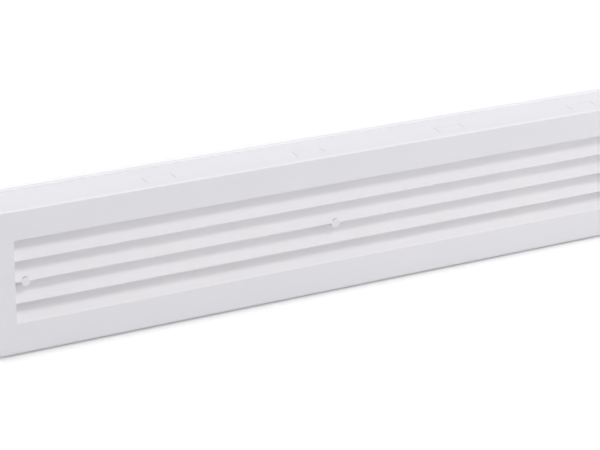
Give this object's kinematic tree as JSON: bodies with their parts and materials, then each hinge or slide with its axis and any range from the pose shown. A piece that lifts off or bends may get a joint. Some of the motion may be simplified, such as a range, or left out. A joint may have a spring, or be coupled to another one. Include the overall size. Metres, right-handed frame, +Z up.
{
  "type": "door vent grille",
  "caption": "Telescopic door vent grille: a front and a rear half with fixed sloping louvres that slide together through a door and are held by screws.",
  "frame": {"origin": "on the surface it stands on, under the middle of the closed grille", "axes": "+X along the grille to the right seen from the front, +Y from the front face to the rear face, +Z up"},
  "size_m": [0.457, 0.0376, 0.092],
  "materials": {
    "white_plastic": "fine moulded satin",
    "screw_steel": "bright zinc plate"
  },
  "bodies": {
    "front_half": {"front_frame": "white_plastic", "front_louvre_top": "white_plastic", "front_louvre_middle": "white_plastic", "front_louvre_bottom": "white_plastic", "front_post_left": "white_plastic", "front_post_centre": "white_plastic", "front_post_right": "white_plastic"},
    "rear_half": {"rear_frame": "white_plastic", "rear_louvre_top": "white_plastic", "rear_louvre_middle": "white_plastic", "rear_louvre_bottom": "white_plastic", "rear_sleeve_left": "white_plastic", "rear_sleeve_centre": "white_plastic", "rear_sleeve_right": "white_plastic", "screw_left": "screw_steel", "screw_centre": "screw_steel", "screw_right": "screw_steel"}
  },
  "joints": [
    {"name": "depth_slide", "type": "slide", "parent": "front_half", "child": "rear_half", "axis": [0, 1, 0], "range_m": [0, 0.014]}
  ]
}
